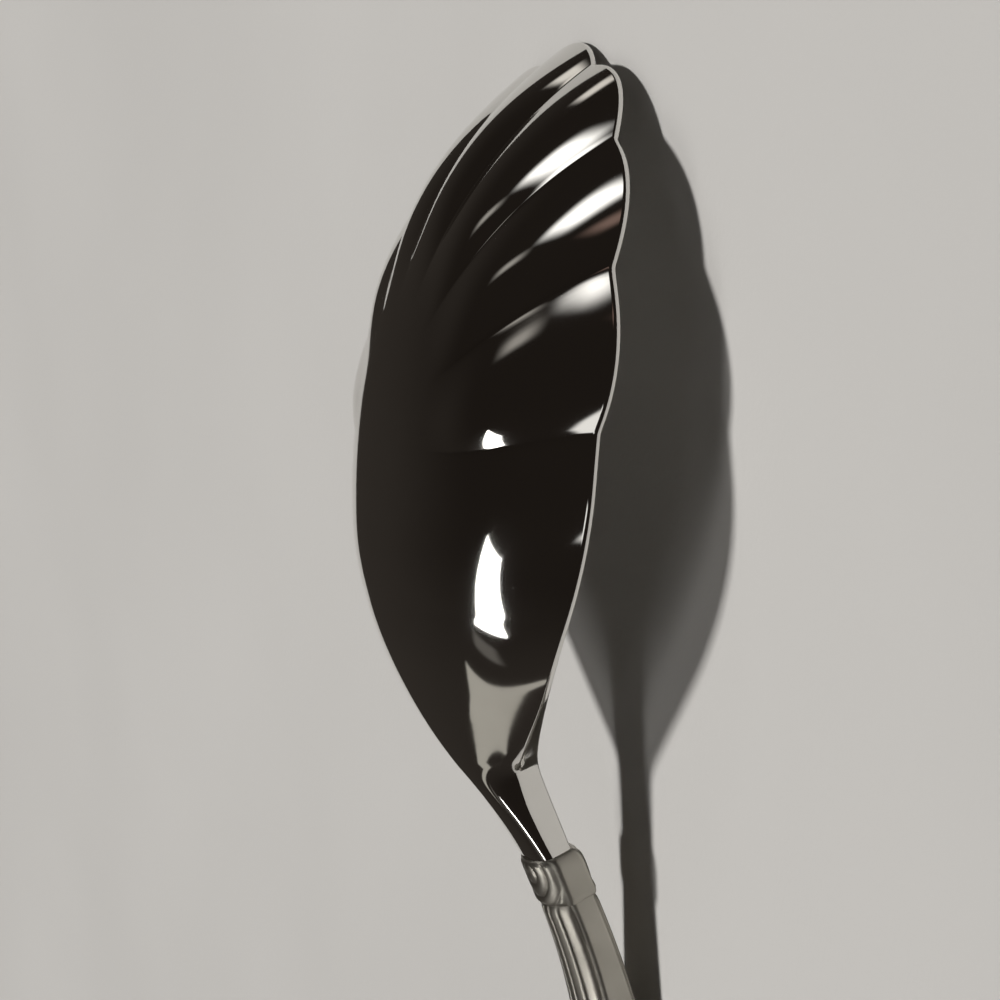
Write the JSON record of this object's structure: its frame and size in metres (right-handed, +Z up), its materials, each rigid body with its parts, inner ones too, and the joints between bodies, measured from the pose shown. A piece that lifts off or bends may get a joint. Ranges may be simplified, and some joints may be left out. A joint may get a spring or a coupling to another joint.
{
  "type": "sugar spoon",
  "caption": "Polished sugar spoon with a fluted shell bowl, a collar at the stem and a hollow reeded handle, lying face down on its tip and handle.",
  "frame": {"origin": "on the ground under the middle of the spoon's length and width, as it lies face down", "axes": "+X from the handle's end towards the tip of the bowl, +Y across the spoon, +Z up towards the back of the bowl"},
  "size_m": [0.1476, 0.0418, 0.0192],
  "materials": {
    "metal": "mirror polished",
    "cement": "matt"
  },
  "bodies": {
    "root": {"bowl": "metal", "collar": "metal", "handle_back": "metal", "handle_front": "metal", "handle_filler": "cement"}
  },
  "joints": []
}
